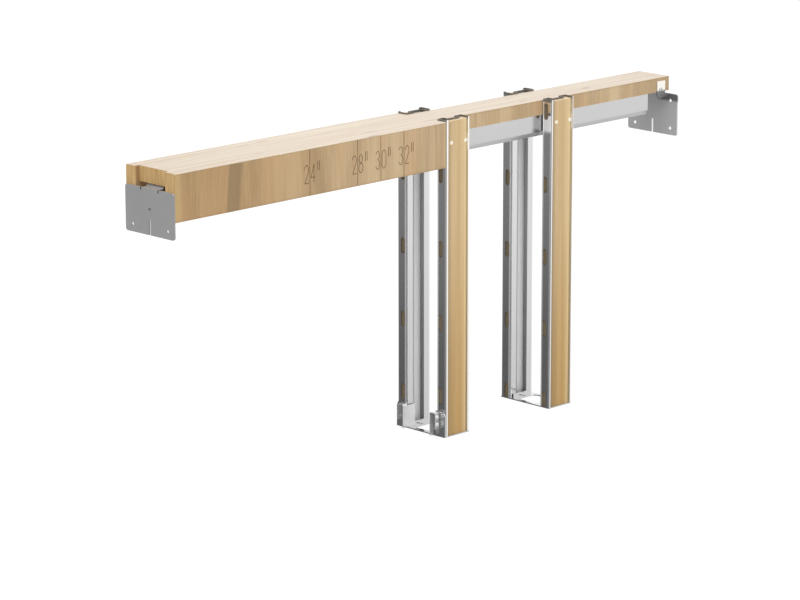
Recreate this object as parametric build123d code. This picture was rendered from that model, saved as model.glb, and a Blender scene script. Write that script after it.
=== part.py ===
from build123d import *
import os

# Pocket door frame: a header beam with a trolley track, carried by two pairs of split studs.
# All sizes are in millimetres. +X runs along the header towards the closed pocket end, -Y is the
# front of the wall and +Z is up. The origin is midway between the first floor plate's screw holes,
# on its underside.

# Overall sizes
WALL_DEPTH = 89.0
HEADER_TOP = 420.0
LEFT_REACH = 483.0
RIGHT_REACH = 431.0
PAIR_SPACING = 198.0

# Wooden header
NAILER_STUD_GAP = 0.5
NAILER_HEIGHT = 60.0
NAILER_THICKNESS = 17.5
CORE_HEIGHT = 19.5
CORE_SETBACK = 6.0
WOOD_EDGE = 0.8

# Aluminium track
TRACK_HEIGHT = 28.2
TRACK_WALL = 1.8
TRACK_BEVEL_HEIGHT = 6.0
TRACK_BEVEL_DEPTH = 3.0
TRACK_SLOT = 16.0
TRACK_END_GAP = 43.0

# End brackets of sheet steel
BRACKET_SHEET = 2.0
BRACKET_TOP_DROP = 23.8
BRACKET_HEIGHT = 57.5
BRACKET_CORNER = 3.5
BRACKET_HOLE = 4.5
BRACKET_HOLE_INSET = 12.5
BRACKET_HOLE_RISE = 9.5
BRACKET_SLIT_WIDTH = 2.8
BRACKET_SLIT_HEIGHT = 19.0
BRACKET_CENTRE_HOLE_DROP = 25.0
BRACKET_BEND = 3.0
TONGUE_WIDTH = 30.0
TONGUE_REACH = 26.0
TONGUE_RELIEF = 2.0
TONGUE_STEP_START = 7.0
TONGUE_STEP_RUN = 4.0
EAR_SHEET = 1.6
EAR_LENGTH = 25.5
EAR_POST = 9.3
EAR_TOP_DROP = 4.5
EAR_NECK_STEP = 4.5
EAR_ROOT = 4.0
EAR_CORNER = 1.5

# Split studs: a wooden strip in a folded steel channel
STUD_WIDTH = 44.0
STUD_DEPTH = 17.0
CHANNEL_SHEET = 1.2
CHANNEL_BEND = 2.4
CHANNEL_LIP = 4.6
CHANNEL_TOP_RISE = 2.0
GROOVE_WIDTH = 20.0
GROOVE_DEPTH = 7.0
STRIP_CLEARANCE = 0.2
STRIP_TOP_DROP = 0.5
STRIP_RECESS = 2.0
SLOT_LENGTH = 22.0
SLOT_WIDTH = 7.5
SLOT_INSET = 10.0
SLOT_PITCH = 98.5
SLOT_FLOOR_MARGIN = 10.0
FIRST_FRONT_SLOT_DROP = 70.0
FIRST_BACK_SLOT_DROP = 76.0
SECOND_SLOT_DROP = 14.5

# Floor plates
FLOOR_SHEET = 1.5
FLOOR_OVERHANG = 1.7
FLOOR_WINDOW_LENGTH = 36.0
FLOOR_WINDOW_WIDTH = 34.0
FLOOR_WINDOW_CORNER = 8.0
FLOOR_HOLE = 5.0
FLOOR_HOLE_SPACING = 46.0
UPSTAND_HEIGHT = 5.0
UPSTAND_WIDTH = 34.0
SIDE_TAB_HEIGHT = 33.0
SIDE_TAB_CHAMFER = 3.0
PLATE_CLEARANCE = 0.2

# Door guides: folded clips beside the first pair's feet
GUIDE_SHEET = 1.2
GUIDE_HEIGHT = 32.0
GUIDE_REACH = 10.0
GUIDE_FOLD = 8.0
GUIDE_HOOK_HEIGHT = 22.0
GUIDE_BEND = 2.5
GUIDE_TAB_GAP = 0.5
GUIDE_HOLE = 3.2
GUIDE_HOLE_DROPS = (6.0, 16.0)

# Three-wheel trolleys
WHEEL_DIAMETER = 22.6
WHEEL_WIDTH = 8.0
WHEEL_EDGE = 0.8
WHEEL_RIM = 1.8
WHEEL_HUB_DIAMETER = 9.0
WHEEL_DISH = 1.2
WHEEL_OFFSET = 14.6
WHEEL_BASE = 46.0
ROLLING_GAP = 0.3
AXLE_DIAMETER = 5.0
AXLE_FIT = 0.05
AXLE_ROOT = 1.0
AXLE_HEAD_DIAMETER = 7.0
AXLE_HEAD_HEIGHT = 1.2
BOSS_DIAMETER = 12.0
TROLLEY_OVERHANG = 7.0
TROLLEY_NOSE = 22.0
TROLLEY_HEIGHT = 15.0
TROLLEY_WIDTH = 20.0
TROLLEY_CHAMFER = 3.0
BOLT_DIAMETER = 8.0
BOLT_FIT = 0.05
BOLT_REACH = 34.0
BOLT_HEAD_DIAMETER = 13.0
BOLT_HEAD_HEIGHT = 2.0
NUT_WIDTH = 13.0
NUT_HEIGHT = 3.8
DOOR_PLATE_LENGTH = 46.0
DOOR_PLATE_WIDTH = 22.0
DOOR_PLATE_SHEET = 1.5
DOOR_PLATE_HEIGHT = 5.4
DOOR_PLATE_CORNER = 3.0
DOOR_PLATE_HOLE = 4.5
DOOR_PLATE_HOLE_SPACING = 32.0
LEAD_INSET = 103.0
REAR_TROLLEY_X = 19.5

LEFT = -LEFT_REACH
POCKET_HALF = WALL_DEPTH / 2 - STUD_DEPTH
NAILER_LENGTH = LEFT_REACH - STUD_WIDTH / 2 - NAILER_STUD_GAP
CORE_WIDTH = WALL_DEPTH - 2 * NAILER_THICKNESS
CORE_BOTTOM = HEADER_TOP - CORE_HEIGHT
TRACK_BOTTOM = CORE_BOTTOM - TRACK_HEIGHT
TRACK_LENGTH = LEFT_REACH + RIGHT_REACH - 2 * TRACK_END_GAP
BRACKET_TOP = HEADER_TOP - BRACKET_TOP_DROP
BRACKET_BOTTOM = BRACKET_TOP - BRACKET_HEIGHT
TROLLEY_AXLE_Z = TRACK_BOTTOM + TRACK_WALL + ROLLING_GAP + WHEEL_DIAMETER / 2
BOLT_TOP = TROLLEY_AXLE_Z + TROLLEY_HEIGHT / 2
DOOR_PLATE_Z = BOLT_TOP - BOLT_REACH + BOLT_HEAD_HEIGHT
LEAD_TROLLEY_X = LEFT + LEAD_INSET
ALONG_X = Plane(origin=(0, 0, 0), x_dir=(0, 1, 0), z_dir=(1, 0, 0))
FACING_FRONT = Plane(origin=(0, 0, 0), x_dir=(1, 0, 0), z_dir=(0, -1, 0))


def run_along_x(section, start, length):
    """Extrude a section drawn in (y, z) along +X from start."""
    return Pos(start, 0, 0) * extrude(ALONG_X * section, length)


def through_y(section, near, thickness):
    """Extrude a section drawn in (x, z) towards +Y from near."""
    return Pos(0, near + thickness, 0) * extrude(FACING_FRONT * section, thickness)


def outline(points):
    """Closed face through the given points."""
    return make_face(Polyline(*points, close=True))


def rounded(section, corners, radius):
    """Round the section's corners that lie at the given points."""
    picked = [section.vertices().sort_by_distance(corner)[0] for corner in corners]
    return fillet(picked, radius)


def header_core():
    """Flat wooden beam above the track, set back from the nailers' left ends."""
    length = LEFT_REACH + RIGHT_REACH - CORE_SETBACK
    section = Pos(0, HEADER_TOP - CORE_HEIGHT / 2) * Rectangle(CORE_WIDTH, CORE_HEIGHT)
    return run_along_x(section, LEFT + CORE_SETBACK, length)


def nailer(side):
    """Wooden board beside the core over the door opening; side is -1 for the front, 1 for the back."""
    centre = side * (CORE_WIDTH + NAILER_THICKNESS) / 2
    section = Pos(centre, HEADER_TOP - NAILER_HEIGHT / 2) * Rectangle(NAILER_THICKNESS, NAILER_HEIGHT)
    board = run_along_x(section, LEFT, NAILER_LENGTH)
    outer = board.edges().filter_by(Axis.X).sort_by(Axis.Y)
    outer = outer[:2] if side < 0 else outer[-2:]
    return chamfer(outer, WOOD_EDGE)


def track():
    """Slotted aluminium box: bevelled lower corners and a slot for the hanger bolts."""
    half = CORE_WIDTH / 2
    outer = outline([
        (-half, CORE_BOTTOM), (half, CORE_BOTTOM), (half, TRACK_BOTTOM + TRACK_BEVEL_HEIGHT),
        (half - TRACK_BEVEL_DEPTH, TRACK_BOTTOM), (-half + TRACK_BEVEL_DEPTH, TRACK_BOTTOM),
        (-half, TRACK_BOTTOM + TRACK_BEVEL_HEIGHT),
    ])
    inner = offset(outer, -TRACK_WALL, kind=Kind.INTERSECTION)
    slot_height = 2 * TRACK_WALL
    slot = Pos(0, TRACK_BOTTOM + slot_height / 2) * Rectangle(TRACK_SLOT, slot_height)
    return run_along_x(outer - inner - slot, LEFT + TRACK_END_GAP, TRACK_LENGTH)


def bracket_plate(right_end):
    """Flat bracket plate in (y, z): two holes and a centre hole, or four at the right end, and a slit."""
    middle = (BRACKET_TOP + BRACKET_BOTTOM) / 2
    plate = Pos(0, middle) * RectangleRounded(WALL_DEPTH, BRACKET_HEIGHT, BRACKET_CORNER)
    hole_y = WALL_DEPTH / 2 - BRACKET_HOLE_INSET
    hole = Circle(BRACKET_HOLE / 2)
    for side in (-1, 1):
        plate -= Pos(side * hole_y, BRACKET_BOTTOM + BRACKET_HOLE_RISE) * hole
        if right_end:
            plate -= Pos(side * hole_y, BRACKET_TOP - BRACKET_HOLE_RISE) * hole
        relief = Pos(side * (TONGUE_WIDTH + TONGUE_RELIEF) / 2, BRACKET_TOP - BRACKET_SHEET)
        plate -= relief * Rectangle(TONGUE_RELIEF, 2 * BRACKET_SHEET)
    if not right_end:
        plate -= Pos(0, BRACKET_TOP - BRACKET_CENTRE_HOLE_DROP) * hole
    slit = Rectangle(BRACKET_SLIT_WIDTH, BRACKET_SLIT_HEIGHT, align=(Align.CENTER, Align.MIN))
    return plate - Pos(0, BRACKET_BOTTOM) * slit


def tongue(side, bends):
    """Extrude a tongue's side view (x, z) to its width, with each named corner rounded."""
    for corner, radius in bends:
        side = rounded(side, [corner], radius)
    return through_y(side, -TONGUE_WIDTH / 2, TONGUE_WIDTH)


def left_end_bracket():
    """Sheet plate on the nailers' left ends; its tongue runs inward, then steps up to the core."""
    plate = run_along_x(bracket_plate(False), LEFT - BRACKET_SHEET, BRACKET_SHEET)
    outer, inner = LEFT - BRACKET_SHEET, LEFT + TONGUE_REACH
    low, high = BRACKET_TOP - BRACKET_SHEET, CORE_BOTTOM - BRACKET_SHEET
    step = LEFT + TONGUE_STEP_START
    side = outline([
        (outer, low), (step, low), (step + TONGUE_STEP_RUN, high), (inner, high), (inner, CORE_BOTTOM),
        (step + TONGUE_STEP_RUN - BRACKET_SHEET / 2, CORE_BOTTOM),
        (step - BRACKET_SHEET / 2, BRACKET_TOP), (outer, BRACKET_TOP),
    ])
    return plate + tongue(side, [((outer, BRACKET_TOP), BRACKET_BEND / 2)])


def right_end_bracket():
    """Sheet plate under the core's right end, with a tongue and two ears screwed to the core."""
    plate_x = RIGHT_REACH - BRACKET_SHEET
    part = run_along_x(bracket_plate(True), plate_x, BRACKET_SHEET)
    low, high = BRACKET_TOP - BRACKET_SHEET, CORE_BOTTOM - BRACKET_SHEET
    end = plate_x - TONGUE_REACH
    side = outline([
        (RIGHT_REACH, low), (plate_x, low), (plate_x, high), (end, high), (end, CORE_BOTTOM),
        (RIGHT_REACH, CORE_BOTTOM),
    ])
    part += tongue(side, [
        ((RIGHT_REACH, CORE_BOTTOM), BRACKET_BEND), ((plate_x, high), BRACKET_BEND - BRACKET_SHEET),
    ])
    post_x = RIGHT_REACH - EAR_POST
    ear_left = RIGHT_REACH - EAR_LENGTH
    ear_top = HEADER_TOP - EAR_TOP_DROP
    root = BRACKET_TOP - EAR_ROOT
    ear = outline([
        (RIGHT_REACH, root), (RIGHT_REACH, BRACKET_TOP), (post_x, BRACKET_TOP), (post_x, ear_top),
        (ear_left, ear_top), (ear_left, root + EAR_NECK_STEP), (ear_left + EAR_NECK_STEP, root),
    ])
    ear = rounded(ear, [(post_x, ear_top), (ear_left, ear_top)], EAR_CORNER)
    part += through_y(ear, -CORE_WIDTH / 2 - EAR_SHEET, EAR_SHEET)
    part += through_y(ear, CORE_WIDTH / 2, EAR_SHEET)
    return part


def channel_section():
    """Folded sheet in (x, y) for a front stud: lips at y = 0, grooved web at y = STUD_DEPTH."""
    half = STUD_WIDTH / 2
    groove = GROOVE_WIDTH / 2
    outer = Pos(0, STUD_DEPTH / 2) * RectangleRounded(STUD_WIDTH, STUD_DEPTH, CHANNEL_BEND)
    inside = offset(outer, -CHANNEL_SHEET)
    mouth = Pos(0, CHANNEL_SHEET / 2) * Rectangle(STUD_WIDTH - 2 * CHANNEL_LIP, 2 * CHANNEL_SHEET)
    recess = Pos(0, STUD_DEPTH - GROOVE_DEPTH / 2) * Rectangle(GROOVE_WIDTH, GROOVE_DEPTH)
    pocket = Pos(0, STUD_DEPTH - GROOVE_DEPTH / 2) * Rectangle(
        GROOVE_WIDTH + 2 * CHANNEL_SHEET, GROOVE_DEPTH + 2 * CHANNEL_SHEET)
    return (outer - inside - mouth) + (pocket & outer) - recess


def strip_section():
    """Wooden strip that fills the channel behind its lips, grooved to pass the channel's groove."""
    gap = CHANNEL_SHEET + STRIP_CLEARANCE
    depth = STUD_DEPTH - STRIP_RECESS - gap
    body = Pos(0, STRIP_RECESS + depth / 2) * RectangleRounded(
        STUD_WIDTH - 2 * gap, depth, CHANNEL_BEND - gap)
    groove_depth = GROOVE_DEPTH + gap
    groove = Pos(0, STUD_DEPTH - groove_depth / 2) * Rectangle(
        GROOVE_WIDTH + 2 * gap, groove_depth)
    return body - groove


def stand(section, side, pair_x, height):
    """Raise a stud section on the floor plate, facing the front (side -1) or back (side 1)."""
    turn = Rot(0, 0, 0) if side < 0 else Rot(0, 0, 180)
    place = Pos(pair_x, side * WALL_DEPTH / 2, FLOOR_SHEET)
    return place * turn * extrude(section, height)


def stud_channel(side, pair_x, slot_drop):
    """Steel channel of one stud, with a row of slots in both flanges."""
    height = HEADER_TOP - FLOOR_SHEET + CHANNEL_TOP_RISE
    part = stand(channel_section(), side, pair_x, height)
    slot_y = side * (WALL_DEPTH / 2 - SLOT_INSET)
    lowest = SLOT_FLOOR_MARGIN if slot_drop < SLOT_PITCH / 2 else SIDE_TAB_HEIGHT
    count = int((HEADER_TOP - slot_drop - lowest) // SLOT_PITCH) + 1
    for i in range(count):
        z = HEADER_TOP - slot_drop - i * SLOT_PITCH
        slot = Pos(slot_y, z) * Rot(0, 0, 90) * SlotOverall(SLOT_LENGTH, SLOT_WIDTH)
        for flange_x in (pair_x - STUD_WIDTH / 2, pair_x + STUD_WIDTH / 2):
            part -= run_along_x(slot, flange_x - CHANNEL_BEND, 2 * CHANNEL_BEND)
    return part


def stud_strip(side, pair_x):
    """Wooden strip of one stud."""
    return stand(strip_section(), side, pair_x, HEADER_TOP - STRIP_TOP_DROP - FLOOR_SHEET)


def floor_plate(pair_x, side_tabs):
    """Sheet plate under a pair: a window, screw holes, upstands at the webs and side tabs at -X."""
    overhang = FLOOR_OVERHANG if side_tabs else 0
    base = Pos(-overhang / 2, 0) * Rectangle(STUD_WIDTH + overhang, WALL_DEPTH)
    base -= RectangleRounded(FLOOR_WINDOW_WIDTH, FLOOR_WINDOW_LENGTH, FLOOR_WINDOW_CORNER)
    for side in (-1, 1):
        base -= Pos(0, side * FLOOR_HOLE_SPACING / 2) * Circle(FLOOR_HOLE / 2)
    part = extrude(base, FLOOR_SHEET)
    near = POCKET_HALF - PLATE_CLEARANCE
    upstand = Rectangle(UPSTAND_WIDTH, FLOOR_SHEET)
    far = WALL_DEPTH / 2
    top = FLOOR_SHEET + SIDE_TAB_HEIGHT
    tab = outline([
        (near, FLOOR_SHEET), (far, FLOOR_SHEET), (far, top - 2 * SIDE_TAB_CHAMFER),
        (far - SIDE_TAB_CHAMFER, top), (near, top),
    ])
    for side in (-1, 1):
        place = Pos(0, side * (near - FLOOR_SHEET / 2), FLOOR_SHEET)
        part += place * extrude(upstand, UPSTAND_HEIGHT)
        if side_tabs:
            turned = tab if side > 0 else mirror(tab, Plane.YZ)
            part += run_along_x(turned, -STUD_WIDTH / 2 - overhang, FLOOR_SHEET)
    return Pos(pair_x, 0, 0) * part


def door_guide(side, pair_x):
    """Clip on a first stud: a flat face towards the door, folded over past the stud's edge."""
    face = POCKET_HALF - PLATE_CLEARANCE - FLOOR_SHEET
    top = FLOOR_SHEET + GUIDE_HEIGHT
    inside, outside = face - GUIDE_SHEET, face + GUIDE_FOLD
    hairpin = outline([
        (inside, FLOOR_SHEET), (face, FLOOR_SHEET), (face, top - GUIDE_SHEET),
        (outside, top - GUIDE_SHEET), (outside, top - GUIDE_HOOK_HEIGHT),
        (outside + GUIDE_SHEET, top - GUIDE_HOOK_HEIGHT), (outside + GUIDE_SHEET, top), (inside, top),
    ])
    hairpin = rounded(hairpin, [(inside, top), (outside + GUIDE_SHEET, top)], GUIDE_BEND)
    inner_corners = [(face, top - GUIDE_SHEET), (outside, top - GUIDE_SHEET)]
    hairpin = rounded(hairpin, inner_corners, GUIDE_BEND - GUIDE_SHEET)
    hook_width = GUIDE_REACH - FLOOR_OVERHANG - GUIDE_TAB_GAP
    start = -STUD_WIDTH / 2 - GUIDE_REACH
    part = run_along_x(hairpin, start, hook_width)
    flat = Pos(face - GUIDE_SHEET / 2, FLOOR_SHEET + GUIDE_HEIGHT / 2 - GUIDE_BEND / 2)
    flat *= Rectangle(GUIDE_SHEET, GUIDE_HEIGHT - GUIDE_BEND)
    part += run_along_x(flat, start + hook_width, -GROOVE_WIDTH / 2 - start - hook_width)
    for drop in GUIDE_HOLE_DROPS:
        hole = Pos(start + hook_width / 2, top - drop) * Circle(GUIDE_HOLE / 2)
        part -= through_y(hole, outside - GUIDE_SHEET, 3 * GUIDE_SHEET)
    if side < 0:
        part = mirror(part, Plane.XZ)
    return Pos(pair_x, 0, 0) * part


def wheel_places(trolley_x):
    """Axle places: two wheels on the front side and one midway on the back side."""
    return {
        "front_left": (trolley_x - WHEEL_BASE / 2, -1),
        "front_right": (trolley_x + WHEEL_BASE / 2, -1),
        "back": (trolley_x, 1),
    }


def trolley_body(trolley_x):
    """Moulded bogie: where a side profile and a plan meet, with bosses, axle bores and a bolt bore."""
    end = WHEEL_BASE / 2 + TROLLEY_OVERHANG
    tip = -end - TROLLEY_NOSE
    half_height = TROLLEY_HEIGHT / 2
    half_width = TROLLEY_WIDTH / 2
    step = TROLLEY_CHAMFER
    profile = outline([
        (tip, -half_height + step), (tip + step, -half_height), (end - step, -half_height),
        (end, -half_height + step), (end, half_height - step), (end - step, half_height),
        (-end, half_height), (-end - step, half_height - step), (tip, half_height - step),
    ])
    plan = outline([
        (tip, -half_width + 2 * step), (tip + step, -half_width + step), (-end - step, -half_width + step),
        (-end, -half_width), (end, -half_width), (end, half_width), (-end, half_width),
        (-end - step, half_width - step), (tip + step, half_width - step), (tip, half_width - 2 * step),
    ])
    part = through_y(profile, -half_width, TROLLEY_WIDTH)
    part &= Pos(0, 0, -half_height) * extrude(plan, TROLLEY_HEIGHT)
    part = Pos(trolley_x, 0, TROLLEY_AXLE_Z) * part
    boss_length = WHEEL_OFFSET - WHEEL_WIDTH / 2 - ROLLING_GAP
    for x, side in wheel_places(trolley_x).values():
        place = Pos(x, TROLLEY_AXLE_Z)
        start = min(0, side * boss_length)
        part += through_y(place * Circle(BOSS_DIAMETER / 2), start, boss_length)
        bore = place * Circle(AXLE_DIAMETER / 2 + AXLE_FIT)
        part -= through_y(bore, start, boss_length)
    bolt_bore = extrude(Circle(BOLT_DIAMETER / 2 + BOLT_FIT), TROLLEY_HEIGHT)
    return part - Pos(bolt_x(trolley_x), 0, TROLLEY_AXLE_Z - half_height) * bolt_bore


def bolt_x(trolley_x):
    """The hanger bolt stands between the back wheel and the right wheel."""
    return trolley_x + WHEEL_BASE / 4


def hanger_bolt(trolley_x):
    """Bolt that hangs through the track's slot, with a round head under the door plate."""
    part = extrude(Circle(BOLT_DIAMETER / 2), BOLT_REACH)
    part += extrude(Circle(BOLT_HEAD_DIAMETER / 2), BOLT_HEAD_HEIGHT)
    return Pos(bolt_x(trolley_x), 0, BOLT_TOP - BOLT_REACH) * part


def hanger_nut(trolley_x):
    """Hexagonal nut that locks the door plate on the bolt."""
    ring = RegularPolygon(NUT_WIDTH / 2, 6, major_radius=False) - Circle(BOLT_DIAMETER / 2 + BOLT_FIT)
    return Pos(bolt_x(trolley_x), 0, DOOR_PLATE_Z + DOOR_PLATE_SHEET) * extrude(ring, NUT_HEIGHT)


def door_plate(trolley_x):
    """Shallow tray that two screws hold on a door's top edge; it hangs on the bolt's head."""
    outer = RectangleRounded(DOOR_PLATE_LENGTH, DOOR_PLATE_WIDTH, DOOR_PLATE_CORNER)
    length = DOOR_PLATE_LENGTH - 2 * DOOR_PLATE_SHEET
    width = DOOR_PLATE_WIDTH - 2 * DOOR_PLATE_SHEET
    inner = RectangleRounded(length, width, DOOR_PLATE_CORNER - DOOR_PLATE_SHEET)
    part = extrude(outer, DOOR_PLATE_HEIGHT)
    part -= Pos(0, 0, DOOR_PLATE_SHEET) * extrude(inner, DOOR_PLATE_HEIGHT)
    part -= extrude(Circle(BOLT_DIAMETER / 2 + BOLT_FIT), DOOR_PLATE_SHEET)
    for side in (-1, 1):
        screw_hole = extrude(Circle(DOOR_PLATE_HOLE / 2), DOOR_PLATE_SHEET)
        part -= Pos(side * DOOR_PLATE_HOLE_SPACING / 2, 0, 0) * screw_hole
    return Pos(bolt_x(trolley_x), 0, DOOR_PLATE_Z) * part


def wheel(x, side):
    """Roller with a rim, a dished face and a bearing hub, revolved about its axle."""
    r = WHEEL_DIAMETER / 2
    bore = AXLE_DIAMETER / 2 + AXLE_FIT
    half = WHEEL_WIDTH / 2
    hub = WHEEL_HUB_DIAMETER / 2
    disc = r - WHEEL_RIM
    profile = outline([
        (bore, -half), (r - WHEEL_EDGE, -half), (r, -half + WHEEL_EDGE), (r, half - WHEEL_EDGE),
        (r - WHEEL_EDGE, half), (disc, half), (disc - WHEEL_EDGE, half - WHEEL_DISH),
        (hub + WHEEL_EDGE, half - WHEEL_DISH), (hub, half), (bore, half),
    ])
    part = revolve(Plane.XY * profile, Axis.Y)
    turn = Rot(0, 0, 0) if side > 0 else Rot(0, 0, 180)
    return Pos(x, side * WHEEL_OFFSET, TROLLEY_AXLE_Z) * turn * part


def axle(x, side):
    """Pin through a wheel into the trolley's body, with a flat head outside the wheel."""
    length = WHEEL_OFFSET + WHEEL_WIDTH / 2 + ROLLING_GAP - AXLE_ROOT
    part = extrude(Circle(AXLE_DIAMETER / 2), length)
    part += Pos(0, 0, length) * extrude(Circle(AXLE_HEAD_DIAMETER / 2), AXLE_HEAD_HEIGHT)
    tilt = Rot(-90, 0, 0) if side > 0 else Rot(90, 0, 0)
    return Pos(x, side * AXLE_ROOT, TROLLEY_AXLE_Z) * tilt * part


def save(name, part):
    export_step(part, f"parts/{name}.step")


def main():
    os.makedirs("parts", exist_ok=True)
    save("header_core", header_core())
    save("front_nailer", nailer(-1))
    save("back_nailer", nailer(1))
    save("track", track())
    save("left_end_bracket", left_end_bracket())
    save("right_end_bracket", right_end_bracket())
    pairs = {
        "first": (0.0, FIRST_FRONT_SLOT_DROP, FIRST_BACK_SLOT_DROP),
        "second": (PAIR_SPACING, SECOND_SLOT_DROP, SECOND_SLOT_DROP),
    }
    for pair, (pair_x, front_drop, back_drop) in pairs.items():
        for face, side, slot_drop in (("front", -1, front_drop), ("back", 1, back_drop)):
            save(f"{pair}_{face}_stud", stud_strip(side, pair_x))
            save(f"{pair}_{face}_channel", stud_channel(side, pair_x, slot_drop))
        save(f"{pair}_floor_plate", floor_plate(pair_x, pair == "first"))
    save("door_guide", door_guide(-1, 0.0))
    save("back_door_guide", door_guide(1, 0.0))
    for name, trolley_x in (("lead", LEAD_TROLLEY_X), ("rear", REAR_TROLLEY_X)):
        save(f"{name}_trolley_body", trolley_body(trolley_x))
        save(f"{name}_hanger_bolt", hanger_bolt(trolley_x))
        save(f"{name}_hanger_nut", hanger_nut(trolley_x))
        save(f"{name}_door_plate", door_plate(trolley_x))
        for place, (x, side) in wheel_places(trolley_x).items():
            save(f"{name}_{place}_wheel", wheel(x, side))
            save(f"{name}_{place}_axle", axle(x, side))


main()
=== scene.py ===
import math

import bmesh
import bpy
import numpy as np
from mathutils import Matrix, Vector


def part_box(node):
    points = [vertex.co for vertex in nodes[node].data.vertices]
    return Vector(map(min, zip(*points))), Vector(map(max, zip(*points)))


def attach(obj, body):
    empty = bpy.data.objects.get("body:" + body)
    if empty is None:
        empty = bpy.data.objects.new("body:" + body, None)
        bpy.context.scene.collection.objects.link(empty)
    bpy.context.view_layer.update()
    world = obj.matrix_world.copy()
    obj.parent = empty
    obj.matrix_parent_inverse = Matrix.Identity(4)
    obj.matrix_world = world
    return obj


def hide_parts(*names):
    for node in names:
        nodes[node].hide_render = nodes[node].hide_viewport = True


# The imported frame.
# A pocket door frame stands on two floor plates. Its header carries the track that the trolleys roll in,
# and every length below is in metres, in the frame's own axes.
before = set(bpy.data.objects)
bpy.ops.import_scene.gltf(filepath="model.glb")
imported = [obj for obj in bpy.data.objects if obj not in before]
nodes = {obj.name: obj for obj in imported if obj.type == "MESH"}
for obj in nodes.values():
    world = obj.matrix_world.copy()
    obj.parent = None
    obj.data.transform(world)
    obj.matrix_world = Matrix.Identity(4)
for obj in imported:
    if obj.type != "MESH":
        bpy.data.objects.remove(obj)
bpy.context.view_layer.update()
bpy.context.scene.view_settings.view_transform = "Standard"
MM = 0.001
HEADER_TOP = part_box("front_nailer")[1].z
HEADER_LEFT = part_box("front_nailer")[0].x
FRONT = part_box("front_nailer")[0].y


# The header.
# A flat softwood core between two taller softwood nailers over the door opening, all planed and unpainted.
# The boards are glued and nailed face to face, and their figure runs upright on the faces, along on top.
class Value:
    """A node's number in a formula: an expression on it adds the Math nodes that work it out."""

    def __init__(self, paint, socket):
        self.paint = paint
        self.socket = socket

    def maths(self, operation, *terms):
        return self.paint.node("ShaderNodeMath", {"operation": operation}, dict(enumerate(terms)))

    def __add__(self, other):
        return self.maths("ADD", self, other)

    def __sub__(self, other):
        return self.maths("SUBTRACT", self, other)

    def __rsub__(self, other):
        return self.maths("SUBTRACT", other, self)

    def __mul__(self, other):
        return self.maths("MULTIPLY", self, other)

    def __truediv__(self, other):
        return self.maths("DIVIDE", self, other)

    def __abs__(self):
        return self.maths("ABSOLUTE", self)

    __radd__ = __add__
    __rmul__ = __mul__


class Paint:
    """A shader tree: node() adds any node, and the other methods add the few that this scene repeats."""

    def __init__(self, tree):
        self.tree = tree

    def node(self, kind, settings=None, sockets=None, out=0):
        """Add a node: settings first, then each named or numbered socket gets a value or a link."""
        made = self.tree.nodes.new(kind)
        for name, setting in (settings or {}).items():
            setattr(made, name, setting)
        for name, given in (sockets or {}).items():
            self.feed(made.inputs[name], given)
        return Value(self, made.outputs[out])

    def feed(self, socket, given):
        if isinstance(given, Value):
            self.tree.links.new(given.socket, socket)
        else:
            socket.default_value = given

    def axes(self, output="Object"):
        """The three numbers of a Texture Coordinate output."""
        place = self.node("ShaderNodeTexCoord", out=output)
        split = self.node("ShaderNodeSeparateXYZ", sockets={0: place}).socket.node
        return [Value(self, socket) for socket in split.outputs]

    def noise(self, x, y, z, detail=2.0, roughness=0.5):
        """Noise from 0 to 1 read at a point whose numbers are already scaled to one cell each."""
        at = self.node("ShaderNodeCombineXYZ", sockets={0: x, 1: y, 2: z})
        sockets = {"Vector": at, "Scale": 1.0, "Detail": detail, "Roughness": roughness}
        return self.node("ShaderNodeTexNoise", sockets=sockets)

    def smooth(self, number, low, high):
        """0 below low, 1 above high and an even S between them; low may be the larger."""
        sockets = {"Value": number, "From Min": low, "From Max": high}
        return self.node("ShaderNodeMapRange", {"interpolation_type": "SMOOTHSTEP"}, sockets)

    def band(self, number, centre, half_width, soft):
        """1 within half_width of the centre, falling to 0 over the soft edge."""
        return self.smooth(abs(number - centre), half_width + soft, half_width)

    def mix(self, share, first, second, blend="MIX"):
        """Colour between the first and the second by the share."""
        settings = {"data_type": "RGBA", "blend_type": blend}
        return self.node("ShaderNodeMix", settings, {0: share, 6: first, 7: second}, out=2)

    def bump(self, height, distance, strength=1.0):
        """Normal raised by the height, in metres at height 1."""
        sockets = {"Strength": strength, "Distance": distance, "Height": height}
        return self.node("ShaderNodeBump", sockets=sockets)


def tone(red, green, blue):
    """Linear colour from a colour as it shows on a screen, 0 to 255."""
    shown = np.array([red, green, blue]) / 255
    linear = np.where(shown < 0.04045, shown / 12.92, ((shown + 0.055) / 1.055) ** 2.4)
    return (*linear.tolist(), 1.0)


def finish(name, **sockets):
    """New material whose shader sockets are set; returns its paint, ready for what varies."""
    material = bpy.data.materials.new(name)
    material.use_nodes = True
    paint = Paint(material.node_tree)
    paint.material = material
    paint.shader = material.node_tree.nodes["Principled BSDF"]
    for socket, given in sockets.items():
        paint.shader.inputs[socket.replace("_", " ")].default_value = given
    return paint


def coat(paint, *names):
    """Give the named CAD nodes this material."""
    for name in names:
        nodes[name].data.materials.clear()
        nodes[name].data.materials.append(paint.material)


BAND_START = 84.5
BAND_END = 112.0
BAND_SLANT = 0.09
STRIP_WIDTH = 11.0


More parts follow.
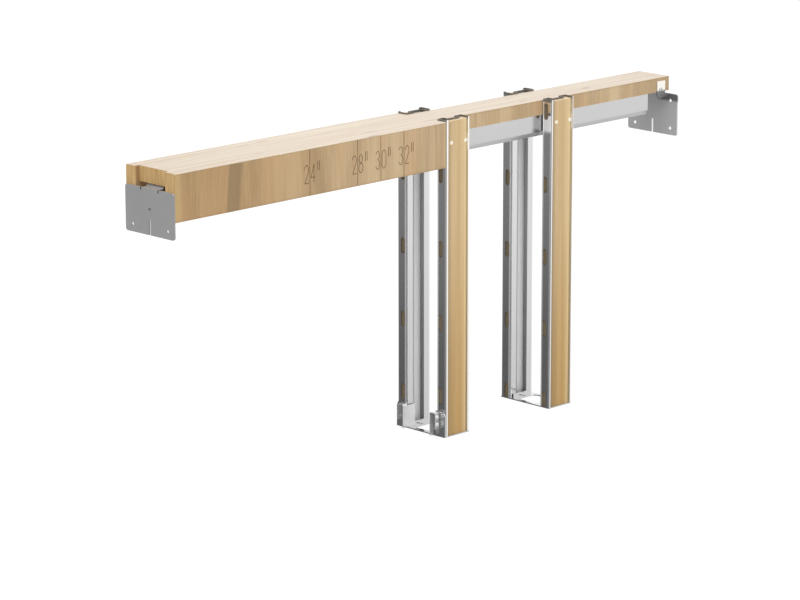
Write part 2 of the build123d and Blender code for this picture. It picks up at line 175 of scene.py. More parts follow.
def header_wood(name, seed, left_edge):
    """Planed softwood of a header board: upright bands on the faces, with painted shade along their top and
    bottom edges; long streaks on a top painted paler by painted light and sheen from above; end grain. Near
    its left end the front nailer also has one slanting darker band and a plain strip at the edge."""
    paint = finish(name, Specular_IOR_Level=0.35)
    x, y, z = paint.axes()
    along, drop = x - HEADER_LEFT, HEADER_TOP - z
    normal = paint.axes("Normal")
    on_top = paint.smooth(normal[2], 0.3, 0.8)
    on_end = paint.smooth(abs(normal[0]), 0.5, 0.9)
    sway = paint.noise(x * 9, seed + 2, z * 14, 1.0) * 0.012
    bands = paint.noise((x + sway) * 26, seed, z * 3, 2.0, 0.6)
    streaks = paint.noise((x + sway) * 330, seed, z * 12, 3.0, 0.6)
    pores = paint.noise(x * 1500, y * 40, z * 60, 2.0, 0.6)
    figure = bands * 0.55 + streaks * 0.3 + pores * 0.15
    plain = paint.mix(paint.smooth(along, 30 * MM, 440 * MM), tone(184, 152, 109), tone(209, 183, 145))
    darker_grain = paint.mix(1.0, plain, tone(219, 213, 206), "MULTIPLY")
    face = paint.mix(paint.smooth(figure, 0.36, 0.64), darker_grain, plain)
    warm = paint.smooth(paint.noise(x * 40, seed + 9, z * 4, 1.0), 0.45, 0.7)
    face = paint.mix(warm * 0.3, face, tone(206, 164, 118))
    lean = along + drop * BAND_SLANT
    dark = paint.smooth(lean, BAND_START * MM, (BAND_START + 5.5) * MM)
    dark = dark * paint.smooth(lean, BAND_END * MM, (BAND_END - 6) * MM)
    face = paint.mix(dark * left_edge * 0.9, face, tone(147, 123, 88))
    strip = paint.smooth(along, STRIP_WIDTH * MM, (STRIP_WIDTH - 4) * MM)
    face = paint.mix(strip * left_edge * 0.8, face, tone(190, 162, 112))
    # Painted shade along the top and bottom edges of the faces.
    edge_band_shade = paint.smooth(drop, 56 * MM, 60 * MM) + paint.smooth(drop, 2.5 * MM, 1 * MM)
    face = paint.mix(edge_band_shade * 0.3, face, tone(150, 118, 78))
    lengths = paint.noise(x * 3.5, y * 240 + seed, seed, 3.0, 0.6)
    wisps = paint.noise(x * 9, y * 900, seed, 2.0)
    plan = lengths * 0.75 + wisps * 0.25
    # The top's streaks and knots are the wood's own; its paler colour is painted light and sheen from above.
    upper = paint.mix(paint.smooth(plan, 0.36, 0.64), tone(198, 181, 164), tone(212, 201, 184))
    knots = paint.noise(x * 16, y * 110, seed + 4, 1.0)
    upper = paint.mix(paint.smooth(knots, 0.7, 0.76) * 0.5, upper, tone(160, 146, 130))
    fade = paint.mix(paint.smooth(along, 0.0, 300 * MM), tone(247, 246, 243), tone(255, 255, 255))
    upper = paint.mix(1.0, upper, fade, "MULTIPLY")
    rings = paint.noise(x * 60, y * 420 + seed, z * 22, 2.0, 0.6)
    ends = paint.mix(paint.smooth(rings, 0.35, 0.65), tone(186, 150, 98), tone(208, 174, 120))
    colour = paint.mix(on_end, paint.mix(on_top, face, upper), ends)
    paint.feed(paint.shader.inputs["Base Color"], colour)
    paint.feed(paint.shader.inputs["Roughness"], 0.62 - figure * 0.15)
    grain = figure * (1 - on_top) + plan * on_top
    paint.feed(paint.shader.inputs["Normal"], paint.bump(grain, 0.12 * MM, 0.6))
    return paint


coat(header_wood("front_nailer_wood", 0.3, 1.0), "front_nailer")
coat(header_wood("back_nailer_wood", 5.7, 0.0), "back_nailer")
coat(header_wood("core_wood", 11.2, 0.0), "header_core")


# The cut marks.
# Four upright lines and their numbers, printed in brown on the front nailer for four door widths.
# Each number straddles its line, and each stroke stands a tenth of a millimetre proud of the wood.
MARK_LINES = {"24": 220.8, "28": 303.0, "30": 343.6, "32": 384.6}
DIGIT_TOP = 20.5
DIGIT_HEIGHT = 23.0
DIGIT_WIDTH = 7.0
DIGIT_GAP = 2.0
STROKE = 0.9
STROKE_RISE = 0.1
LINE_TOP = 1.0
LINE_FOOT = 59.0
TICKS = (13.5, 16.5)
TICK_TOP = 17.5
TICK_LENGTH = 12.0


def arc(centre, radii, start, end, count=12):
    """Points on an ellipse from the start angle to the end angle, in degrees."""
    turn = np.radians(np.linspace(start, end, count))
    return np.array(centre) + np.stack([np.cos(turn), np.sin(turn)], 1) * np.array(radii)


def skin(rings):
    """Closed shell over rings of points: each ring joins the next, and both ends close on their centre."""
    count, around = rings.shape[:2]
    points = np.concatenate([rings.reshape(-1, 3), rings[:1].mean(1), rings[-1:].mean(1)])
    near = np.arange(around)
    far = (near + 1) % around
    step = np.arange(count - 1)[:, None] * around
    sides = np.stack([step + near, step + far, step + around + far, step + around + near], -1)
    first, last = count * around, (count - 1) * around
    start = np.stack([far, near, np.full(around, first)], 1)
    end = np.stack([last + near, last + far, np.full(around, first + 1)], 1)
    return points, [*sides.reshape(-1, 4).tolist(), *start.tolist(), *end.tolist()]


def piece(name, shells, paint, body, crease=35.0):
    """One object made of closed shells, its faces outwards, smooth up to the crease angle, on its body."""
    points, faces, offset = [], [], 0
    for shell_points, shell_faces in shells:
        points.append(shell_points)
        faces += [[corner + offset for corner in face] for face in shell_faces]
        offset += len(shell_points)
    mesh = bpy.data.meshes.new(name)
    mesh.from_pydata(np.concatenate(points).tolist(), [], faces)
    work = bmesh.new()
    work.from_mesh(mesh)
    bmesh.ops.recalc_face_normals(work, faces=work.faces)
    work.to_mesh(mesh)
    work.free()
    mesh.polygons.foreach_set("use_smooth", np.ones(len(mesh.polygons), bool))
    mesh.set_sharp_from_angle(angle=math.radians(crease))
    mesh.materials.append(paint.material)
    made = bpy.data.objects.new(name, mesh)
    bpy.context.scene.collection.objects.link(made)
    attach(made, body)
    return made


def ribbon(path):
    """A flat stroke along a path in x and z: at each point the profile's two edges lie half a stroke to
    each side, on the line that halves the bend, and the profile is as thick as the stroke's rise."""
    ahead = np.gradient(path, axis=0)
    ahead /= np.linalg.norm(ahead, axis=1)[:, None]
    side = np.stack([-ahead[:, 1], ahead[:, 0]], 1) * STROKE * MM / 2
    face = FRONT - STROKE_RISE * MM
    sunk = FRONT + STROKE_RISE * MM
    corners = [(side, face), (-side, face), (-side, sunk), (side, sunk)]
    edges = []
    for shift, depth in corners:
        along, upward = (path + shift).T
        edges.append(np.stack([along, np.full(len(path), depth), upward], 1))
    return skin(np.stack(edges, 1))


def straight(*corners):
    """Points along a broken line, close together at its corners so that the strokes stay even."""
    corners = np.array(corners, float)
    runs = [a + (b - a) * np.array([[0.02], [0.5], [0.98]]) for a, b in zip(corners[:-1], corners[1:])]
    return np.concatenate([corners[:1], *runs, corners[-1:]])


GLYPHS = {
    "0": [np.concatenate([arc((0.5, 0.76), (0.5, 0.24), 180, 0), arc((0.5, 0.24), (0.5, 0.24), 0, -180),
                          [[0.0, 0.76]]])],
    "2": [np.concatenate([arc((0.5, 0.74), (0.48, 0.26), 170, -30), straight((0.06, 0.0), (1.0, 0.0))])],
    "3": [arc((0.48, 0.77), (0.44, 0.23), 160, -90), arc((0.48, 0.27), (0.5, 0.27), 90, -160)],
    "4": [straight((0.72, 0.0), (0.72, 1.0)), straight((0.72, 1.0), (0.0, 0.28)),
          straight((0.0, 0.28), (1.0, 0.28))],
    "8": [arc((0.5, 0.77), (0.42, 0.23), 90, 450, 20), arc((0.5, 0.27), (0.5, 0.27), 90, 450, 22)],
}


def mark(text, line):
    """One door width: a full line down the nailer, a digit on each side of it, and two short ticks."""
    left = HEADER_LEFT + line * MM
    strokes = [ribbon(straight((left, HEADER_TOP - LINE_TOP * MM), (left, HEADER_TOP - LINE_FOOT * MM)))]
    starts = [left - (DIGIT_WIDTH + DIGIT_GAP) * MM, left + DIGIT_GAP * MM]
    foot = HEADER_TOP - (DIGIT_TOP + DIGIT_HEIGHT) * MM
    for digit, start in zip(text, starts):
        for path in GLYPHS[digit]:
            strokes.append(ribbon(path * (DIGIT_WIDTH * MM, DIGIT_HEIGHT * MM) + (start, foot)))
    for tick in TICKS:
        top = (left + tick * MM, HEADER_TOP - TICK_TOP * MM)
        strokes.append(ribbon(straight(top, (top[0], top[1] - TICK_LENGTH * MM))))
    return strokes


ink = finish("printed_marks", Specular_IOR_Level=0.2)
x, y, z = ink.axes()
wear = ink.noise(x * 700, 0.0, z * 500, 2.0)
ink.feed(ink.shader.inputs["Base Color"], ink.mix(wear, tone(88, 68, 42), tone(132, 106, 72)))
ink.feed(ink.shader.inputs["Roughness"], 0.6 + wear * 0.2)
marks = [stroke for text, line in MARK_LINES.items() for stroke in mark(text, line)]
piece("cut_marks", marks, ink, "frame")

# The track.
# An extruded aluminium box under the core, left as it comes from the press: bright, with fine long lines.
# A slot down its underside lets the hanger bolts through.
track_metal = finish("track_aluminium", Metallic=1.0)
x, y, z = track_metal.axes()
lines = track_metal.noise(x * 2, y * 1400, z * 1400, 3.0, 0.6)
cloud = track_metal.noise(x * 8, y * 8, z * 20, 1.0)
shade = track_metal.mix(lines * 0.6 + cloud * 0.4, tone(184, 184, 184), tone(202, 201, 202))
track_metal.feed(track_metal.shader.inputs["Base Color"], shade)
track_metal.feed(track_metal.shader.inputs["Roughness"], 0.14 + lines * 0.12)
track_metal.feed(track_metal.shader.inputs["Normal"], track_metal.bump(lines, 0.01 * MM, 0.5))
coat(track_metal, "track")

# The end brackets.
# Pressed sheet steel with a dull zinc coat. A tongue holds each plate under the core, and the right one
# also has two ears, each screwed to the core's side with one pan-head screw.
EAR_FOOT = 16.0
EAR_SHADE_FOOT = 36.0


def bracket_steel(name, right_end):
    """Dull zinc on pressed steel. At the right end the sheet is painted a little lighter, with painted shade
    where it bends into the ears and along the upper edge beside them, and a painted highlight on the ears'
    flat outsides.
    At the left end the sheet's cut edges have painted shade."""
    paint = finish(name, Metallic=0.6)
    x, y, z = paint.axes()
    drop = HEADER_TOP - z
    cloud = paint.noise(x * 30, y * 30, z * 30, 3.0, 0.6)
    grit = paint.noise(x * 900, y * 900, z * 900, 2.0)
    shade = paint.mix(cloud * 0.7 + grit * 0.3, tone(192, 192, 193), tone(207, 207, 208))
    # Painted light: the right bracket's sheet is painted lighter.
    shade = paint.mix(right_end * 0.8, shade, tone(224, 224, 225))
    # Painted shade where the sheet turns into the ears and along the upper edge beside them.
    ear_shade = paint.smooth(drop, EAR_FOOT * MM, (EAR_FOOT + 3) * MM)
    ear_shade = ear_shade * paint.smooth(drop, EAR_SHADE_FOOT * MM, (EAR_SHADE_FOOT - 5) * MM)
    aside = paint.smooth(abs(y), 5 * MM, 14 * MM)
    shade = paint.mix(ear_shade * aside * right_end * 0.95, shade, tone(124, 124, 125))
    # Painted highlight on the ears' flat outsides.
    ear_highlight = paint.smooth(abs(paint.axes("Normal")[1]), 0.7, 0.95)
    ear_highlight = ear_highlight * paint.smooth(drop, (EAR_FOOT + 3) * MM, EAR_FOOT * MM)
    shade = paint.mix(ear_highlight * right_end, shade, tone(248, 243, 234))
    # Painted shade on the left bracket's cut edges.
    edge = paint.smooth(abs(paint.axes("Normal")[1]), 0.7, 0.95) * (1 - right_end)
    shade = paint.mix(edge, shade, tone(150, 150, 151))
    paint.feed(paint.shader.inputs["Base Color"], shade)
    paint.feed(paint.shader.inputs["Roughness"], 0.36 + grit * 0.12)
    paint.feed(paint.shader.inputs["Normal"], paint.bump(grit, 0.01 * MM, 0.4))
    return paint


coat(bracket_steel("left_bracket_steel", 0.0), "left_end_bracket")
coat(bracket_steel("right_bracket_steel", 1.0), "right_end_bracket")


def screw_head(place, out, radius, rise, recess=0.0):
    """A round head: its side goes up a third of the rise, and a quarter ellipse closes over it. Inside the
    cross, where one of two arms is near, the surface is lowered by the recess. The base is a little sunk."""
    out = np.array(out, float)
    aside = np.cross(out, (0.31, 0.2, 0.93))
    aside /= np.linalg.norm(aside)
    across = np.cross(out, aside)
    climb = np.radians(np.linspace(0, 86, 14))
    reach = np.concatenate([[1.0, 1.0], np.cos(climb)]) * radius
    height = np.concatenate([[-0.12, 0.3], 0.34 + 0.66 * np.sin(climb)]) * rise
    turn = np.linspace(0, 2 * np.pi, 40, endpoint=False)
    flat = np.stack([np.cos(turn), np.sin(turn)], 1)[None] * reach[:, None, None]
    arms = np.minimum(np.abs(flat[..., 0]), np.abs(flat[..., 1])) / radius
    length = reach[:, None] / radius
    cross = np.clip((0.16 - arms) / 0.06, 0, 1) * np.clip((0.62 - length) / 0.1, 0, 1)
    lift = height[:, None] - recess * cross
    return skin(np.array(place) + flat[..., :1] * aside + flat[..., 1:] * across + lift[..., None] * out)


zinc = finish("screw_zinc", Metallic=0.7)
x, y, z = zinc.axes()
grit = zinc.noise(x * 1200, y * 1200, z * 1200, 2.0)
zinc.feed(zinc.shader.inputs["Base Color"], zinc.mix(grit, tone(208, 208, 209), tone(228, 228, 229)))
zinc.feed(zinc.shader.inputs["Roughness"], 0.28 + grit * 0.2)
SIDES = (-1, 1)
EAR_SCREW_X = 412.5
EAR_SCREW_Y = 28.6
EAR_SCREW_Z = 404.6
ear_screws = [screw_head((EAR_SCREW_X * MM, side * EAR_SCREW_Y * MM, EAR_SCREW_Z * MM), (0, side, 0),
                         radius=3.0 * MM, rise=1.6 * MM, recess=1.0 * MM)
              for side in SIDES]
piece("ear_screws", ear_screws, zinc, "frame")
TONGUE_SCREW_Y = 8.0
TONGUE_SCREW_Z = 398.5
LEFT_SCREW_INSET = 20.5
RIGHT_SCREW_INSET = 13.0
tongues = (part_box("left_end_bracket")[0].x + LEFT_SCREW_INSET * MM,
           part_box("right_end_bracket")[1].x - RIGHT_SCREW_INSET * MM)
tongue_screws = [screw_head((along, side * TONGUE_SCREW_Y * MM, TONGUE_SCREW_Z * MM), (0, 0, -1),
                            radius=3.4 * MM, rise=1.8 * MM, recess=1.1 * MM)
                 for along in tongues for side in SIDES]
piece("tongue_screws", tongue_screws, zinc, "frame")

# The studs.
# Each is a softwood strip pressed into a folded channel of bright zinc-coated sheet, whose lips hold it.
# Two nails near the top go through the strip into the header.
# A channel's zones of painted light and shade lie at these millimetres across the pair, out from the wall's
# middle and up.
FLANGE_START = 20.5
GROOVE_HALF = 9.8
GROOVE_FOLD = -10.2
GROOVE_SHADE_LINE = -2.3
CORNER_LINE = 21.3
WEB_HIGHLIGHT_LINE = 19.8
LIP_START = 20.4
LIP_END = 17.3
WEB_DEPTH = 30.0
WEB_BEND = 29.8
FLANGE_MIDDLE = 36.5
FRONT_SKIN = 43.6
TRACK_FOOT = 376.0
TRACK_HEAD = 402.0
CUT_TOP = 418.0


def sheet_steel(name, pair_x=None, rim_half=0.4):
    """Bright zinc-coated sheet. A pair's channels also have zones of painted light and shade, set by place on
    the
    piece: painted shade on the groove walls, a groove floor near the pair's middle painted light, painted
    highlights on the lips with painted shade along their brown rims, fine painted shade lines and highlights
    at the turns and along the groove floor, side faces painted darker towards the foot, painted shade on the
    cut tops, and beside the track a flange that is painted lighter and made less like a mirror."""
    paint = finish(name)
    x, y, z = paint.axes()
    cloud = paint.noise(x * 24, y * 24, z * 9, 2.0)
    roll = paint.noise(x * 1300, y * 1300, z * 12, 3.0, 0.6)
    shade = paint.mix(cloud * 0.6 + roll * 0.4, tone(200, 200, 201), tone(218, 218, 219))
    rough = 0.08 + roll * 0.1
    metal = 1.0
    if pair_x is not None:
        normal = paint.axes("Normal")
        across = x - pair_x
        flange = paint.smooth(abs(across), FLANGE_START * MM, (FLANGE_START + 1) * MM)
        groove = paint.band(across, 0.0, GROOVE_HALF * MM, 0.4 * MM)
        wall = groove * paint.smooth(abs(normal[0]), 0.4, 0.7)
        bed = groove * paint.smooth(abs(normal[1]), 0.7, 0.9)
        groove_edge_shade = paint.band(across, GROOVE_FOLD * MM, 0.3 * MM, 0.15 * MM)
        crease = bed * paint.band(across, GROOVE_SHADE_LINE * MM, 0.7 * MM, 0.4 * MM)
        inner = paint.smooth(abs(y), (WEB_DEPTH + 1) * MM, WEB_DEPTH * MM)
        corner = paint.band(abs(across), CORNER_LINE * MM, 0.35 * MM, 0.3 * MM) * inner
        web_highlight = paint.band(abs(across), WEB_HIGHLIGHT_LINE * MM, 0.6 * MM, 0.5 * MM) * inner
        turn = paint.band(abs(y), WEB_BEND * MM, 0.9 * MM, 0.6 * MM) * flange
        sideways = paint.smooth(abs(normal[0]), 0.7, 0.9)
        low_down = paint.smooth(z, 0.36, 0.05)
        bent = paint.band(abs(y), FLANGE_MIDDLE * MM, 4 * MM, 2 * MM)
        front = paint.smooth(abs(y), FRONT_SKIN * MM, (FRONT_SKIN + 0.3) * MM)
        front = front * paint.smooth(abs(normal[1]), 0.6, 0.9)
        lip = front * paint.smooth(abs(across), LIP_START * MM, (LIP_START - 0.8) * MM)
        rim = front * paint.band(abs(across), (LIP_END + rim_half) * MM, rim_half * MM, 0.2 * MM)
        upper = sideways * paint.smooth(z, TRACK_FOOT * MM, (TRACK_FOOT + 6) * MM)
        upper = upper * paint.smooth(z, TRACK_HEAD * MM, (TRACK_HEAD - 3) * MM)
        cut = paint.smooth(z, CUT_TOP * MM, (CUT_TOP + 1.2) * MM) * (1 - front)
        # Painted highlight on the flange near both its turns, leaving its middle plain.
        shade = paint.mix(flange * (1 - bent) * 0.8, shade, tone(250, 250, 250))
        # Painted shade line along the groove's left edge.
        shade = paint.mix(groove_edge_shade, shade, tone(90, 90, 91))
        # Painted highlight on the web beside where it turns into the flange.
        shade = paint.mix(web_highlight * 0.5, shade, tone(250, 250, 250))
        # Painted shade line where the web turns into the flange, damping its reflection.
        shade = paint.mix(corner, shade, tone(206, 206, 207))
        # Painted shade on the side faces towards the foot, and painted light on them higher up.
        shade = paint.mix(sideways * low_down, shade, tone(234, 234, 235), "MULTIPLY")
        shade = paint.mix(sideways * (1 - low_down) * 0.5, shade, tone(250, 250, 250))
        # Painted light on the flange beside the track, which is also made less like a mirror.
        shade = paint.mix(upper, shade, tone(255, 255, 255))
        # Painted light on the groove floor, against the shade that the groove's walls cast; it is also made
        # rougher and less like a mirror.
        shade = paint.mix(bed, shade, tone(254, 254, 255))
        # Painted shade line along the groove floor.
        shade = paint.mix(crease, shade, tone(214, 214, 215))
        # Painted shade on the groove walls, darker towards the foot.
        shade = paint.mix(wall, shade, paint.mix(low_down, tone(112, 112, 113), tone(62, 62, 63)))
        # Painted highlight on the lips.
        shade = paint.mix(lip, shade, tone(255, 249, 238))
        # Painted shade along the lips' inner rims, brown as a painted reflection of the wood beside them.
        shade = paint.mix(rim, shade, tone(150, 138, 120))
        # Painted shade on the cut tops, which are also made rougher and less like a mirror.
        shade = paint.mix(cut * 0.9, shade, tone(92, 84, 74))
        metal = 1 - cut * 0.7
        metal = metal - bed * 0.8 - turn * 0.4 - upper * 0.7 - lip * 0.2
        rough = rough + cut * 0.3 + bed * 0.5
    paint.feed(paint.shader.inputs["Metallic"], metal)
    paint.feed(paint.shader.inputs["Base Color"], shade)
    paint.feed(paint.shader.inputs["Roughness"], rough)
    paint.feed(paint.shader.inputs["Normal"], paint.bump(cloud, 0.2 * MM, 0.25))
    return paint


PAIRS = ("first", "second")
# Half the width of each pair's rims of painted shade along the lips, in millimetres.
RIM_HALVES = (0.4, 0.9)
FACES = {"front": -1, "back": 1}
for pair, rim_half in zip(PAIRS, RIM_HALVES):
    low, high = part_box(f"{pair}_front_channel")
    steel = sheet_steel(f"{pair}_channel_steel", (low.x + high.x) / 2, rim_half)
    coat(steel, f"{pair}_front_channel", f"{pair}_back_channel")


def stud_wood(name, seed, pair_x):
    """Planed softwood of a stud: upright grain, one pinker side, paler towards the top, a tanner foot. It
    also has painted shade beside the left lip, on the left side's foot and on its side faces, and painted
    light along its right edge.
    """
    paint = finish(name, Specular_IOR_Level=0.35)
    x, y, z = paint.axes()
    across = x - pair_x
    normal = paint.axes("Normal")
    on_top = paint.smooth(normal[2], 0.3, 0.8)
    bands = paint.noise(across * 70 + seed, y * 70, z * 2.2, 1.0)
    streaks = paint.noise(across * 420 + seed, y * 420, z * 7, 3.0, 0.6)
    pores = paint.noise(across * 1600, y * 1600, z * 60, 2.0)
    figure = bands * 0.5 + streaks * 0.35 + pores * 0.15
    plain = paint.mix(paint.smooth(figure, 0.34, 0.66), tone(192, 158, 110), tone(214, 186, 138))
    high = paint.smooth(z, 0.1, 0.4)
    plain = paint.mix(high * 0.35, plain, tone(226, 204, 160))
    pinker = paint.smooth(across, 4 * MM, -14 * MM)
    plain = paint.mix(pinker * 0.4, plain, tone(190, 156, 122))
    foot = paint.smooth(z, 0.3, 0.02)
    plain = paint.mix(foot * 0.65, plain, tone(187, 149, 86))
    plain = paint.mix(paint.smooth(across, 4 * MM, 12 * MM) * 0.35, plain, tone(232, 206, 160))
    # Painted shade from the left lip, weaker towards the foot.
    left_edge = paint.smooth(across, -9 * MM, -14.5 * MM) * (1 - foot * 0.5)
    plain = paint.mix(left_edge, plain, tone(234, 236, 238), "MULTIPLY")
    # Painted shade on the left side at the foot.
    left_side = paint.smooth(across, 0.0, -8 * MM)
    plain = paint.mix(left_side * foot, plain, tone(238, 238, 239), "MULTIPLY")
    # Darker and warmer at the foot, in a band right of the middle.
    right_band = paint.band(across, 8 * MM, 2.5 * MM, 3 * MM)
    plain = paint.mix(right_band * foot, plain, tone(246, 240, 226), "MULTIPLY")
    # Painted light along the right edge, against the shade under the right lip.
    plain = paint.mix(paint.smooth(across, 12.5 * MM, 15.5 * MM) * 0.5, plain, tone(246, 220, 170))
    sawn = paint.mix(paint.smooth(streaks, 0.35, 0.65), tone(196, 172, 136), tone(222, 204, 172))
    # Painted shade on the side faces, which show only through the channels' slots.
    sides = paint.smooth(abs(normal[0]), 0.5, 0.9)
    colour = paint.mix(sides * 0.95, paint.mix(on_top, plain, sawn), tone(110, 98, 78))
    paint.feed(paint.shader.inputs["Base Color"], colour)
    paint.feed(paint.shader.inputs["Roughness"], 0.62 - figure * 0.15)
    paint.feed(paint.shader.inputs["Normal"], paint.bump(figure, 0.12 * MM, 0.6))
    return paint


nail_tone = finish("nail_heads", Specular_IOR_Level=0.5)
x, y, z = nail_tone.axes()
grit = nail_tone.noise(x * 1500, y * 1500, z * 1500, 2.0)
# Painted highlight: the heads' near-white colour stands in for their glint, over a warm plating tint.
shade = nail_tone.mix(grit, tone(244, 236, 214), tone(255, 250, 234))
nail_tone.feed(nail_tone.shader.inputs["Base Color"], shade)
nail_tone.feed(nail_tone.shader.inputs["Roughness"], 0.35 + grit * 0.2)
NAIL_DROP = 29.0
NAIL_SPREAD = 13.0
NAIL_SHIFT = 2.5
NAIL_RADIUS = 2.6
NAIL_RISE = 0.9
for number, pair in enumerate(PAIRS):
    for face, side in FACES.items():
        low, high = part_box(f"{pair}_{face}_stud")
        centre = (low.x + high.x) / 2
        coat(stud_wood(f"{pair}_{face}_stud_wood", 3.1 * number + 1.7 * side, centre), f"{pair}_{face}_stud")
        outer = low.y if side < 0 else high.y
        level = HEADER_TOP - NAIL_DROP * MM
        nails = []
        for spread in (-NAIL_SPREAD, NAIL_SPREAD):
            place = (centre + (spread + NAIL_SHIFT) * MM, outer, level)
            nails.append(screw_head(place, (0, side, 0), NAIL_RADIUS * MM, NAIL_RISE * MM))
        piece(f"{pair}_{face}_nails", nails, nail_tone, "frame")

# The floor plates and the door guides.
# Pressed from the same bright sheet as the channels. The plates have low upstands at the webs and the
# first one has tall side tabs. Two small bright screws fix each guide's folded leg.
coat(sheet_steel("floor_plate_steel"), "first_floor_plate", "second_floor_plate")
guide_steel = finish("guide_steel", Metallic=0.75)
x, y, z = guide_steel.axes()
cloud = guide_steel.noise(x * 60, y * 60, z * 60, 2.0)
roll = guide_steel.noise(x * 1300, y * 1300, z * 12, 3.0, 0.6)
shade = guide_steel.mix(cloud * 0.5 + roll * 0.5, tone(224, 224, 225), tone(242, 242, 243))
guide_steel.feed(guide_steel.shader.inputs["Base Color"], shade)
guide_steel.feed(guide_steel.shader.inputs["Roughness"], 0.26 + roll * 0.14)
coat(guide_steel, "door_guide", "back_door_guide")
bright_screw = finish("bright_screws", Metallic=0.4)
x, y, z = bright_screw.axes()
grit = bright_screw.noise(x * 1400, y * 1400, z * 1400, 2.0)
shade = bright_screw.mix(grit, tone(232, 232, 233), tone(250, 250, 251))
bright_screw.feed(bright_screw.shader.inputs["Base Color"], shade)
bright_screw.feed(bright_screw.shader.inputs["Roughness"], 0.3 + grit * 0.15)
GUIDE_SCREW_X = -28.1
GUIDE_SCREW_LEVELS = (27.5, 17.5)
GUIDE_LEG_FACE = 35.0
for name, side in (("door_guide", -1), ("back_door_guide", 1)):
    outer = GUIDE_LEG_FACE * MM * side
    heads = [screw_head((GUIDE_SCREW_X * MM, outer, level * MM), (0, side, 0),
                        radius=2.6 * MM, rise=1.4 * MM, recess=0.9 * MM)
             for level in GUIDE_SCREW_LEVELS]
    piece(f"{name}_screws", heads, bright_screw, "frame")

# The trolleys.
# A black moulded bogie runs on three cream wheels with black treads, turning on plated pins. A plated
# bolt hangs through the track's slot and carries a bright tray, locked by a nut, for the door's top edge.
moulding = finish("black_moulding", Specular_IOR_Level=0.5)
x, y, z = moulding.axes()
grit = moulding.noise(x * 900, y * 900, z * 900, 3.0, 0.6)
moulding.feed(moulding.shader.inputs["Base Color"], moulding.mix(grit, tone(20, 20, 21), tone(38, 38, 39)))
moulding.feed(moulding.shader.inputs["Roughness"], 0.38 + grit * 0.2)
moulding.feed(moulding.shader.inputs["Normal"], moulding.bump(grit, 0.03 * MM, 0.4))
plated = finish("bright_plate", Metallic=1.0)
x, y, z = plated.axes()
haze = plated.noise(x * 500, y * 500, z * 500, 2.0)
plated.feed(plated.shader.inputs["Base Color"], plated.mix(haze, tone(212, 213, 216), tone(236, 237, 240)))
plated.feed(plated.shader.inputs["Roughness"], 0.1 + haze * 0.14)
WHEELS = ("front_left", "front_right", "back")


def wheel_paint(name, centre, radius):
    """Cream wheel with a black tread: the colour goes by the distance from the axle."""
    paint = finish(name, Specular_IOR_Level=0.5)
    x, y, z = paint.axes()
    out_x, out_z = x - centre.x, z - centre.z
    squared = out_x * out_x + out_z * out_z
    away = squared.maths("SQRT", squared) / radius
    grit = paint.noise(x * 600, y * 600, z * 600, 2.0)
    cream = paint.mix(grit, tone(214, 210, 188), tone(232, 229, 212))
    ring = paint.band(away, 0.64, 0.02, 0.015)
    tread = paint.smooth(away, 0.845, 0.865)
    face = paint.mix(ring, cream, tone(70, 66, 56))
    paint.feed(paint.shader.inputs["Base Color"], paint.mix(tread, face, tone(26, 26, 27)))
    paint.feed(paint.shader.inputs["Roughness"], 0.35 + grit * 0.12 + tread * 0.2)
    return paint


def hanger_bolt(low, high):
    """Plated bolt turned about its axis: radius against height for the head, shank and point, and over
    the threaded part the radius falls by a triangle wave of height over pitch less turn over a full turn."""
    centre = (low + high) / 2
    head, shank = (high.x - low.x) / 2, 4.0 * MM
    pitch, depth, chamfer = 1.25 * MM, 0.5 * MM, 0.4 * MM
    collar = low.z + 2.0 * MM
    heights = np.concatenate([[0, chamfer, 2.0 * MM - chamfer, 2.0 * MM, 2.001 * MM],
                              np.linspace(7 * MM, high.z - low.z - chamfer, 220), [high.z - low.z]]) + low.z
    radii = np.full(len(heights), shank)
    radii[:4] = [head - chamfer, head, head, head - chamfer]
    radii[-1] = shank - 2 * chamfer
    turn = np.linspace(0, 1, 36, endpoint=False)
    phase = (heights[:, None] / pitch - turn) % 1
    wave = np.abs(2 * phase - 1)
    cut = np.clip((heights - collar - 5 * MM) / (1 * MM), 0, 1) * np.clip((high.z - heights) / chamfer, 0, 1)
    reach = radii[:, None] - depth * wave * cut[:, None]
    angle = 2 * np.pi * turn
    rings = np.stack([centre.x + reach * np.cos(angle), centre.y + reach * np.sin(angle),
                      np.repeat(heights[:, None], len(turn), 1)], -1)
    return skin(rings)


for trolley in ("lead", "rear"):
    body = f"{trolley}_trolley"
    coat(moulding, f"{trolley}_trolley_body")
    coat(plated, f"{trolley}_door_plate", f"{trolley}_hanger_nut")
    for wheel in WHEELS:
        low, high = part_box(f"{trolley}_{wheel}_wheel")
        centre, radius = (low + high) / 2, (high.z - low.z) / 2
        coat(wheel_paint(f"{trolley}_{wheel}_wheel_paint", centre, radius), f"{trolley}_{wheel}_wheel")
        coat(plated, f"{trolley}_{wheel}_axle")
    bolt = piece(f"{trolley}_threaded_bolt", [hanger_bolt(*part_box(f"{trolley}_hanger_bolt"))], plated, body)
    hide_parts(f"{trolley}_hanger_bolt")

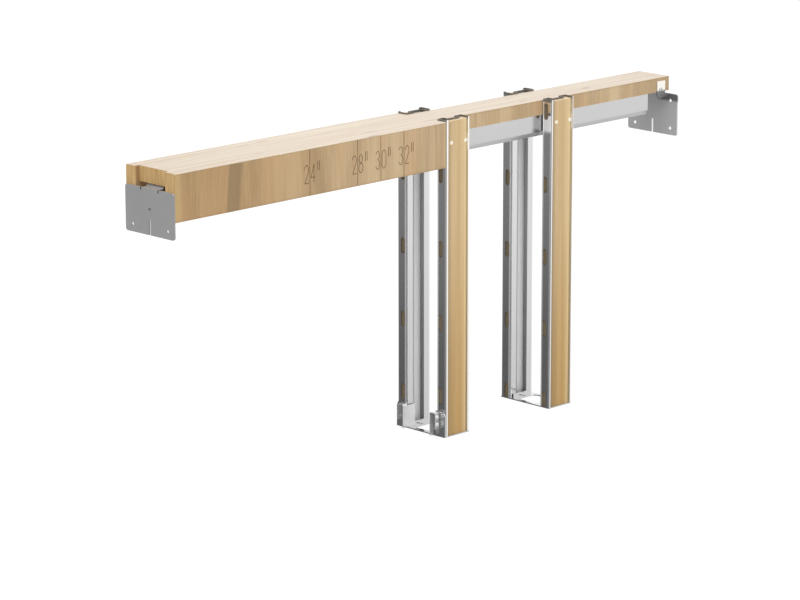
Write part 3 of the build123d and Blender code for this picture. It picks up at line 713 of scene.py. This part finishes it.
# The studio.
# A white floor that keeps a faint shadow, an even white surround with two darker sides that only polished
# metal sees, and one wide soft lamp overhead. The camera stands where the reference view was taken from.
SURROUND = 0.72
FLOOR_REACH = 15.0
floor_mesh = bpy.data.meshes.new("floor")
corners = [(-1, -1, 0), (1, -1, 0), (1, 1, 0), (-1, 1, 0)]
floor_mesh.from_pydata((np.array(corners) * FLOOR_REACH).tolist(), [], [(0, 1, 2, 3)])
floor = bpy.data.objects.new("floor", floor_mesh)
bpy.context.scene.collection.objects.link(floor)
floor.visible_glossy = False
floor_paint = finish("floor_white")
output = floor_paint.tree.nodes["Material Output"]
seen = floor_paint.node("ShaderNodeLightPath", out="Is Camera Ray")
bounce = floor_paint.node("ShaderNodeBsdfDiffuse", sockets={"Color": (0.8, 0.8, 0.8, 1.0)})
faint = floor_paint.node("ShaderNodeBsdfDiffuse", sockets={"Color": (0.3, 0.3, 0.3, 1.0)})
glow = floor_paint.node("ShaderNodeEmission", sockets={"Color": (1, 1, 1, 1), "Strength": 0.77})
shown = floor_paint.node("ShaderNodeAddShader", sockets={0: faint, 1: glow})
surface = floor_paint.node("ShaderNodeMixShader", sockets={0: seen, 1: bounce, 2: shown})
floor_paint.feed(output.inputs["Surface"], surface)
floor_mesh.materials.append(floor_paint.material)

world = bpy.data.worlds.new("surround")
bpy.context.scene.world = world
world.use_nodes = True
air = Paint(world.node_tree)
toward_x, toward_y, toward_z = air.axes("Generated")
dark_side = air.smooth(toward_y * 0.71 - toward_x * 0.70, -0.3, 1.0)
dark_front = air.smooth(toward_x * -0.68 + toward_y * -0.69, 0.80, 0.95)
plain_view = air.node("ShaderNodeLightPath", out="Is Camera Ray")
through = air.node("ShaderNodeLightPath", out="Is Transmission Ray")
mirrored = air.node("ShaderNodeLightPath", out="Is Glossy Ray")
direct = plain_view + through
even = (1 - direct) - mirrored
falling = 0.67 + air.smooth(toward_z, -0.36, -0.13) * 0.64 + air.smooth(toward_z, -0.4, -0.65) * 0.26
polished = mirrored * falling * (1 - dark_side * 0.8) * (1 - dark_front * 0.85)
strength = direct + polished + even * (SURROUND + toward_z * 0.2)
background = world.node_tree.nodes["Background"]
background.inputs["Color"].default_value = (1, 1, 1, 1)
air.feed(background.inputs["Strength"], strength)

lamp = bpy.data.lights.new("soft_overhead", "AREA")
lamp.shape = "DISK"
lamp.size = 3.0
lamp.energy = 45.0
lamp_object = bpy.data.objects.new("soft_overhead", lamp)
lamp_object.location = (-0.6, -0.9, 2.6)
lamp_object.rotation_euler = (math.radians(-20), math.radians(-13), 0)
bpy.context.scene.collection.objects.link(lamp_object)

camera = bpy.data.cameras.new("view")
camera.lens = 158.012
camera.sensor_width = 36.0
camera.clip_start, camera.clip_end = 0.1, 100.0
view = bpy.data.objects.new("view", camera)
right = (0.70996, -0.70424, -0.00131)
up = (0.16927, 0.16883, 0.971)
forward = (0.6836, 0.68959, -0.23907)
stand = (-3.1721, -3.1376, 1.2727)
turned = np.eye(4)
turned[:3, 0], turned[:3, 1], turned[:3, 2] = right, up, np.negative(forward)
turned[:3, 3] = stand
view.matrix_world = Matrix(turned.tolist())
bpy.context.scene.collection.objects.link(view)
bpy.context.scene.camera = view
